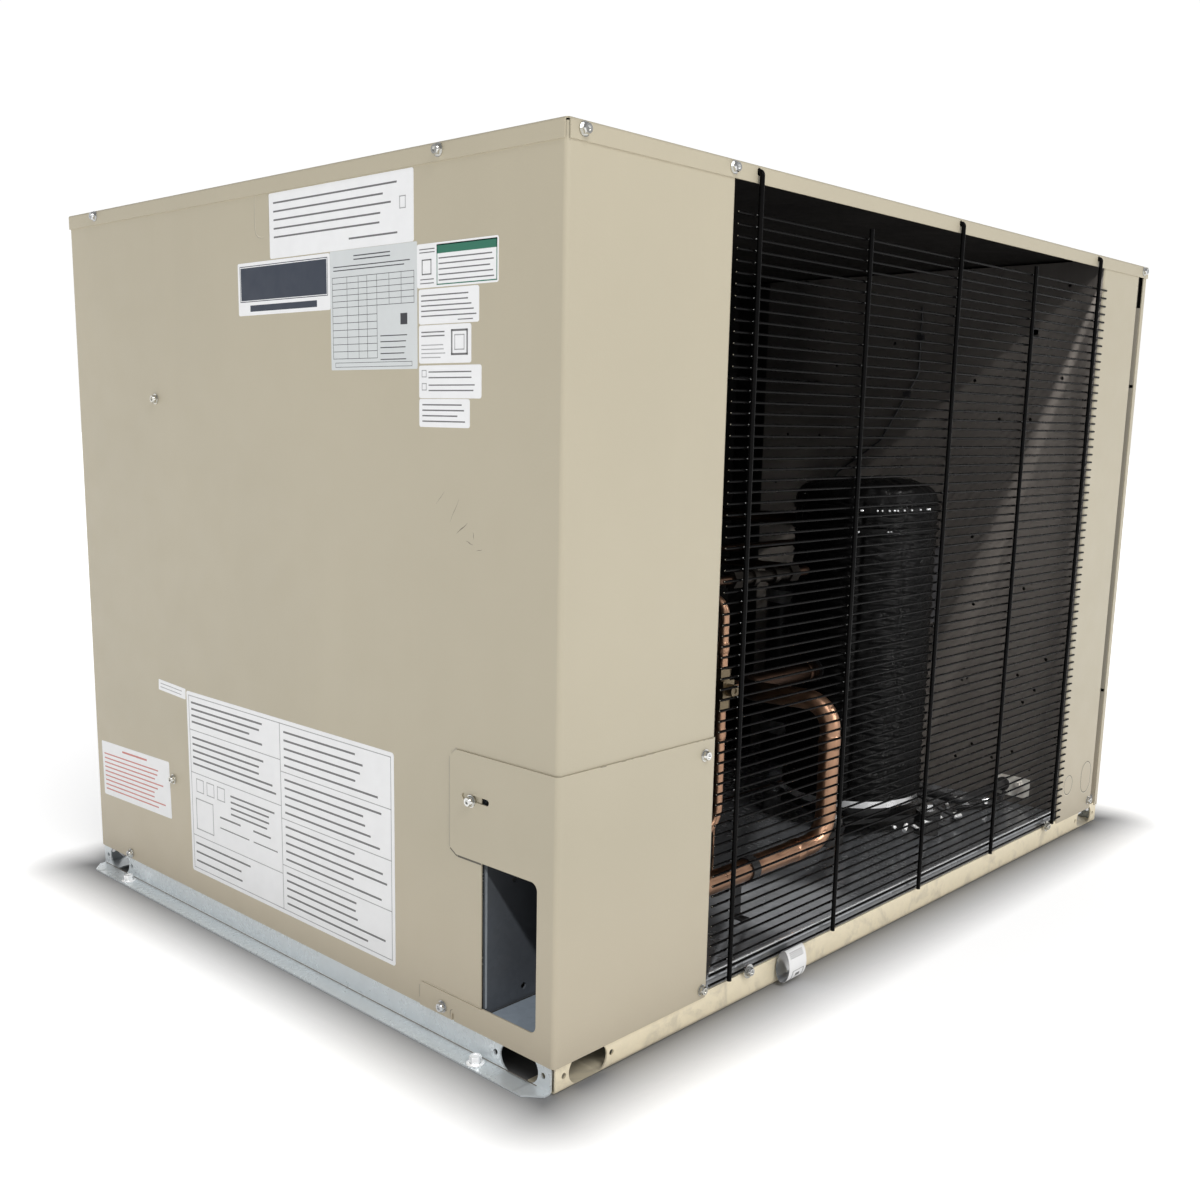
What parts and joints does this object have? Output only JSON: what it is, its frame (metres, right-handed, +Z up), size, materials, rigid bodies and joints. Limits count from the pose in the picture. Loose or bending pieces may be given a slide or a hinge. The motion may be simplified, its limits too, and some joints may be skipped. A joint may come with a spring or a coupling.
{
  "type": "refrigeration condensing unit",
  "caption": "Side-discharge refrigeration condensing unit: sheet metal casing, black wire guard, fan, finned coil and jacketed compressor on a galvanized base.",
  "frame": {"origin": "centre of the bounding box, on the floor plane under the base rails", "axes": "+Z up; -Y out of the discharge guard; +X along the guard towards the control compartment"},
  "size_m": [1.1138, 0.7908, 0.75],
  "materials": {
    "tan_paint": "satin, light orange peel",
    "galvanized": "spangled zinc",
    "inner_coat": "matte back coat",
    "guard_black": "gloss",
    "copper": "drawn copper",
    "valve_brass": "machined",
    "fin_aluminium": "thin sheet",
    "blade_aluminium": "mill",
    "black_enamel": "semi gloss",
    "jacket": "crinkled sound blanket",
    "zinc_screw": "bright zinc",
    "steel": "turned",
    "heater_band": "foil",
    "rubber": "matte",
    "black_plastic": "moulded",
    "cable": "pvc",
    "label": "printed film",
    "clear_tag": "film",
    "capacitor_can": "drawn"
  },
  "bodies": {
    "casing": {"access_cover": "tan_paint", "base_deck": "galvanized", "capillary": "copper", "casing_screws": "zinc_screw", "chase_end": "galvanized", "coil_fins": "fin_aluminium", "coil_guard": "guard_black", "coil_headers": "copper", "coil_tube_sheets": "galvanized", "coil_tubes": "copper", "compressor_bolts": "zinc_screw", "compressor_grommets": "rubber", "compressor_jacket": "jacket", "compressor_shell": "black_enamel", "condenser_outlet_line": "copper", "contactor": "black_plastic", "control_access_panel": "tan_paint", "control_wall": "inner_coat", "crankcase_heater": "heater_band", "discharge_guard": "guard_black", "discharge_line": "copper", "fan_motor": "black_enamel", "fan_panel": "inner_coat", "filter_drier": "steel", "front_post": "tan_paint", "front_rail": "galvanized", "grommets": "rubber", "label_plates": "label", "left_panel": "tan_paint", "left_rail": "galvanized", "line_chase": "galvanized", "liquid_line": "copper", "liquid_valve": "valve_brass", "loop_tag": "clear_tag", "motor_bolts": "zinc_screw", "motor_bracket": "steel", "pipe_clamp": "galvanized", "pressure_control": "galvanized", "rear_rail": "galvanized", "receiver": "black_enamel", "receiver_brackets": "galvanized", "receiver_outlet_line": "copper", "right_rail": "galvanized", "right_rear_panel": "tan_paint", "run_capacitor": "capacitor_can", "sight_glass": "valve_brass", "suction_line": "copper", "suction_valve": "valve_brass", "terminal_block": "black_plastic", "terminal_box": "black_plastic", "top_cover": "tan_paint", "transformer": "steel", "valve_bracket": "galvanized", "wiring_harness": "cable"},
    "fan_rotor": {"fan_shaft": "steel", "fan_hub": "steel", "fan_blades": "blade_aluminium"},
    "suction_stem": {"suction_valve_stem": "steel"},
    "liquid_stem": {"liquid_valve_stem": "steel"},
    "armature": {"contactor_armature": "black_plastic"}
  },
  "joints": [
    {"name": "fan_spin", "type": "hinge", "parent": "casing", "child": "fan_rotor", "pos_m": [-0.109, 0.218, 0.385], "axis": [0, 1, 0], "continuous": true},
    {"name": "suction_stem_turn", "type": "hinge", "parent": "casing", "child": "suction_stem", "pos_m": [-0.411, -0.358, 0.096], "axis": [0, -1, 0], "range_deg": [0, 720]},
    {"name": "liquid_stem_turn", "type": "hinge", "parent": "casing", "child": "liquid_stem", "pos_m": [-0.421, -0.358, 0.15], "axis": [0, -1, 0], "range_deg": [0, 720]},
    {"name": "armature_slide", "type": "slide", "parent": "casing", "child": "armature", "axis": [-1, 0, 0], "range_m": [0, 0.004], "stiffness_N_per_m": 600, "springref_m": -0.002}
  ]
}
